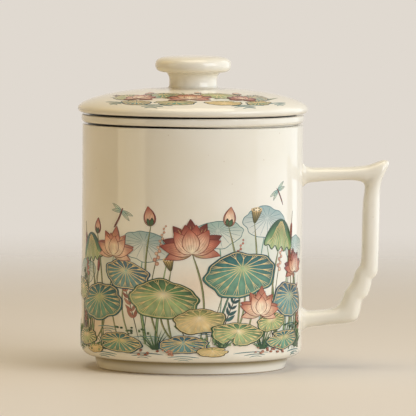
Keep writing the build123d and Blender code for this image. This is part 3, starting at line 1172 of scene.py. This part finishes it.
def glaze(name):
    """Ivory glaze: soft changes of tone, a few iron specks, a slight wave and orange peel."""
    nodes = Finish(name)
    tone = nodes.step(nodes.noise(TONE_SCALE, 3), *TONE_RANGE)
    colour = nodes.mix(solid(IVORY), solid(IVORY_WARM), tone)
    cells = nodes.add("ShaderNodeTexVoronoi", {"Vector": nodes.place, "Scale": SPECK_SCALE}).outputs
    chance = nodes.add("ShaderNodeSeparateColor", {"Color": cells["Color"]}).outputs["Red"]
    kept = nodes.step(chance, *SPECK_CHANCE)
    dot = nodes.step(cells["Distance"], *SPECK_EDGE, SPECK_STRENGTH, 0)
    colour = nodes.mix(colour, solid(SPECK), nodes.math("MULTIPLY", kept, dot))
    wave = nodes.bump(nodes.noise(WAVE_SCALE, 1), WAVE_DEPTH)
    normal = nodes.bump(nodes.noise(PEEL_SCALE, 1), PEEL_DEPTH, wave)
    roughness = nodes.step(nodes.noise(GLOSS_SCALE, 2), *GLOSS_RANGE, *GLAZE_ROUGHNESS)
    nodes.set("Normal", normal)
    nodes.set("Roughness", roughness)
    nodes.set("IOR", GLAZE_IOR)
    return nodes, colour, roughness, normal


SEAT_FADE = 0.0002
SEAT_REACH = (-0.014, 0.022)
SEAT_SPECULAR = (0.5, 0.08)


# Painted shade: the dark seam lines are painted onto the bare seats, thinner on the lit side by the handle
def painted_seam_shade(nodes, colour, radius, low, high, high_by_handle):
    """Painted shade in the seam gap: the seat darkened outside a radius, from low up to a level that drops
    beside the handle on the lit side, with less specular there.
    """
    axes = nodes.axes()
    across = nodes.add("ShaderNodeCombineXYZ", {"X": axes["X"], "Y": axes["Y"]}).outputs["Vector"]
    outside = nodes.step(nodes.length(across), radius - SEAT_FADE, radius)
    above = nodes.step(axes["Z"], low - SEAT_FADE, low)
    top = nodes.step(axes["X"], *SEAT_REACH, high, high_by_handle)
    below = nodes.step(axes["Z"], top, nodes.math("ADD", top, SEAT_FADE), 1, 0)
    share = nodes.math("MULTIPLY", outside, nodes.math("MULTIPLY", above, below))
    nodes.set("Specular IOR Level", nodes.step(share, 0, 1, *SEAT_SPECULAR))
    return nodes.mix(colour, solid(SEAM_PAINTED_SHADE), share)


# Painted shade: the creases under the heel and under the knob are darkened, partly as pooled glaze
def pooled_glaze_and_shade(nodes, colour, low, crease, high, strength):
    """Darker glaze that gathered in a crease and thins out below and above it, standing also for painted
    shade in the crease.
    """
    height = nodes.axes()["Z"]
    below = nodes.step(height, low, crease)
    above = nodes.step(height, crease, high, strength, 0)
    return nodes.mix(colour, solid(POOL_AND_SHADE), nodes.math("MULTIPLY", below, above))


WIPED_LEVELS = (0.0003, 0.0006)


def bare_foot(nodes, colour):
    """Bare biscuit where the glaze was wiped off the foot ring."""
    return nodes.mix(colour, solid(BISCUIT), nodes.step(nodes.axes()["Z"], *WIPED_LEVELS, 1, 0))


GRAIN_SCALE = 620
GRAIN_DEPTH = 0.000008
GRAIN_ROUGHNESS = (0.05, 0.15)
SETTLED_TINT = (0.8, 0.8, 0.78, 1)
SETTLED_RANGE = (0.45, 0.7)
SETTLED_SHARE = 0.5


def enamel_material():
    """Painted enamel: the colour at each point over the glaze, with settled pigment and a faint grain."""
    nodes, colour, roughness, normal = glaze("enamel")
    paint = nodes.add("ShaderNodeAttribute", attribute_name="paint").outputs
    grain = nodes.noise(GRAIN_SCALE, 3)
    settled = nodes.step(grain, *SETTLED_RANGE, 0, SETTLED_SHARE)
    pigment = nodes.mix(paint["Color"], SETTLED_TINT, settled, "MULTIPLY")
    rougher = nodes.math("MULTIPLY", nodes.step(grain, *GLOSS_RANGE, *GRAIN_ROUGHNESS), paint["Alpha"])
    relief = nodes.math("MULTIPLY", grain, paint["Alpha"])
    nodes.set("Base Color", nodes.mix(colour, pigment, paint["Alpha"]))
    nodes.set("Roughness", nodes.math("ADD", roughness, rougher))
    nodes.set("Normal", nodes.bump(relief, GRAIN_DEPTH, normal))
    return nodes.material


WEAR_SCALE = 420
WEAR_RANGE = (0.5, 0.66)
WEAR_SHARE = 0.5
GILT_METALLIC = (0.35, 0.1)
GILT_ROUGHNESS = (0.28, 0.42)


def gilt_material():
    """Pale gilding: the line's colour with a soft metal sheen and worn spots."""
    nodes = Finish("gilding")
    paint = nodes.add("ShaderNodeAttribute", attribute_name="paint").outputs["Color"]
    worn = nodes.step(nodes.noise(WEAR_SCALE, 3), *WEAR_RANGE)
    nodes.set("Base Color", nodes.mix(paint, solid(OCHRE), nodes.math("MULTIPLY", worn, WEAR_SHARE)))
    nodes.set("Metallic", nodes.step(worn, 0, 1, *GILT_METALLIC))
    nodes.set("Roughness", nodes.step(worn, 0, 1, *GILT_ROUGHNESS))
    return nodes.material


# Stage
FLOOR_RADIUS = 0.9
FLOOR_AROUND = 96
FLOOR_ROUGHNESS = 0.6
FLOOR_FADE = (0.25, 0.8)


def make_floor():
    """A round pale floor that fades into the backdrop."""
    mesh = bpy.data.meshes.new("floor")
    rim = [(FLOOR_RADIUS * cos(turn), FLOOR_RADIUS * sin(turn), 0) for turn in circle(FLOOR_AROUND)]
    mesh.from_pydata(rim, [], [tuple(range(FLOOR_AROUND))])
    floor = add_object("floor", mesh)
    nodes = Finish("floor")
    nodes.set("Base Color", solid(FLOOR))
    nodes.set("Roughness", FLOOR_ROUGHNESS)
    nodes.set("Alpha", nodes.step(nodes.length(nodes.place), *FLOOR_FADE, 1, 0))
    mesh.materials.append(nodes.material)


MUG_MIDDLE = Vector((0, 0, 0.06))
DAYLIGHT = (0.76, 0.88, 1.0)
PALE_SKY = (0.90, 0.93, 1.0)
AMBER = (1.0, 0.87, 0.61)
CREAMY = (1.0, 0.88, 0.66)
WARM = (1.0, 0.64, 0.15)
AMBIENT = (0.022, 0.015, 0.005, 1)

# Each lamp has its azimuth from the front towards the right, distance along the floor, height, width, depth,
# power and colour
LAMPS = {
    "window": (105, 1.10, 0.40, 1.7, 1.2, 6.5, DAYLIGHT),
    "key": (53, 1.25, 0.50, 0.9, 0.9, 11.8, PALE_SKY),
    "panel": (-66, 1.00, 0.10, 0.60, 0.9, 2.1, AMBER),
    "left_fill": (-100, 1.07, 0.81, 0.9, 0.9, 2.6, WARM),
    "top_fill": (20, 0.11, 1.36, 1.0, 1.0, 9.7, CREAMY),
}


def make_lamp(name, azimuth, distance, height, width, depth, power, colour):
    """A soft rectangular lamp that faces the mug."""
    lamp = bpy.data.lights.new(name, "AREA")
    lamp.shape = "RECTANGLE"
    lamp.size = width
    lamp.size_y = depth
    lamp.energy = power
    lamp.color = colour
    light = add_object(name, lamp)
    turn = radians(azimuth)
    light.location = (distance * sin(turn), -distance * cos(turn), height)
    light.rotation_euler = (MUG_MIDDLE - light.location).to_track_quat("-Z", "Y").to_euler()


def make_studio():
    """Soft daylight from the right, warm fills from the left and above, and a pale backdrop."""
    for name, settings in LAMPS.items():
        make_lamp(name, *settings)
    world = bpy.data.worlds.new("studio")
    scene.world = world
    world.use_nodes = True
    world.node_tree.nodes.clear()
    nodes = Nodes(world.node_tree)
    path = nodes.add("ShaderNodeLightPath").outputs
    seen = path["Is Camera Ray"]
    for name in ("Is Glossy Ray", "Is Transmission Ray"):
        seen = nodes.math("MAXIMUM", seen, path[name])
    colour = nodes.mix(AMBIENT, solid(BACKDROP), seen)
    background = nodes.add("ShaderNodeBackground", {"Color": colour})
    nodes.add("ShaderNodeOutputWorld", {"Surface": background.outputs[0]})


def make_camera():
    """The photograph's view."""
    data = bpy.data.cameras.new("camera")
    data.lens = CAMERA_LENS
    camera = add_object("camera", data)
    camera.location = CAMERA_PLACE
    look = (Vector(CAMERA_AIM) - Vector(CAMERA_PLACE)).to_track_quat("-Z", "Y")
    camera.rotation_euler = (look @ Quaternion((0, 0, 1), radians(CAMERA_ROLL))).to_euler()
    scene.camera = camera
    scene.view_settings.view_transform = "Standard"


# Seats that the loose pieces rest on, darkened as painted shade of the seam gaps: the shade's inner radius,
# its lowest level, and its highest level away from the handle and beside it
RIM_SEAT = (0.0401, 0.0938, 0.0946, 0.0939)
LID_SEAT = (0.0397, 0.0975, 0.0983, 0.0979)

# Creases where glaze gathers and painted shade darkens them: the level where it thins out below, the crease,
# the level above it and the strength
HEEL_CREASE = (0.0018, 0.0048, 0.0056, 1.0)
KNOB_CREASE = (0.1070, 0.1078, 0.1092, 0.25)


def dressed(name, crease=None, seat=None, foot=False):
    """A glaze for CAD pieces, with pooled glaze and painted shade in a crease, painted shade on a seat and a
    bare foot where they have them.
    """
    nodes, colour, _, _ = glaze(name)
    if crease is not None:
        colour = pooled_glaze_and_shade(nodes, colour, *crease)
    if seat is not None:
        colour = painted_seam_shade(nodes, colour, *seat)
    if foot:
        colour = bare_foot(nodes, colour)
    nodes.set("Base Color", colour)
    return nodes.material


def dress_nodes():
    """Glazes on the CAD pieces that keep their own shapes, and the handle's own form."""
    body = dressed("body_glaze", crease=HEEL_CREASE, foot=True)
    lid = dressed("lid_glaze", crease=KNOB_CREASE, seat=LID_SEAT)
    basket = dressed("infuser_glaze", seat=RIM_SEAT)
    glazes = {"mug_body": body, "infuser_basket": basket, "lid": lid, "lid_knob": lid}
    for name, material in glazes.items():
        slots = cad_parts[name].data.materials
        slots.clear()
        slots.append(material)
    make_handle(body)


# The middle of the pond on the back, across from the front's, and the seeds of what is drawn by chance
BACK_MIDDLE = 139.5
WALL_SEED = 7
LID_SEED = 11


def decorate():
    """Raised enamel on the wall and on the lid."""
    wall = Brush(on_wall, 2 * pi * wall_round, WALL_SEED)
    draw(wall, POND_WASHES, POND, 0)
    draw(wall, POND_WASHES, POND, BACK_MIDDLE, facing=-1)
    dome = Brush(on_lid, 2 * pi * LID_RING, LID_SEED)
    for i in range(POSIES):
        draw(dome, LID_WASHES, POSY, 2 * pi * LID_RING * i / POSIES)
    enamel = enamel_material()
    gilding = gilt_material()
    for brush, place, body, slot in ((wall, "wall", "mug", "body_glaze"), (dome, "lid", "lid", "lid_glaze")):
        for kind, shells in brush.kinds.items():
            shells.build(f"{place}_{kind}", body, slot, gilding if kind == "gilding" else enamel)


dress_nodes()
decorate()
make_floor()
make_studio()
make_camera()
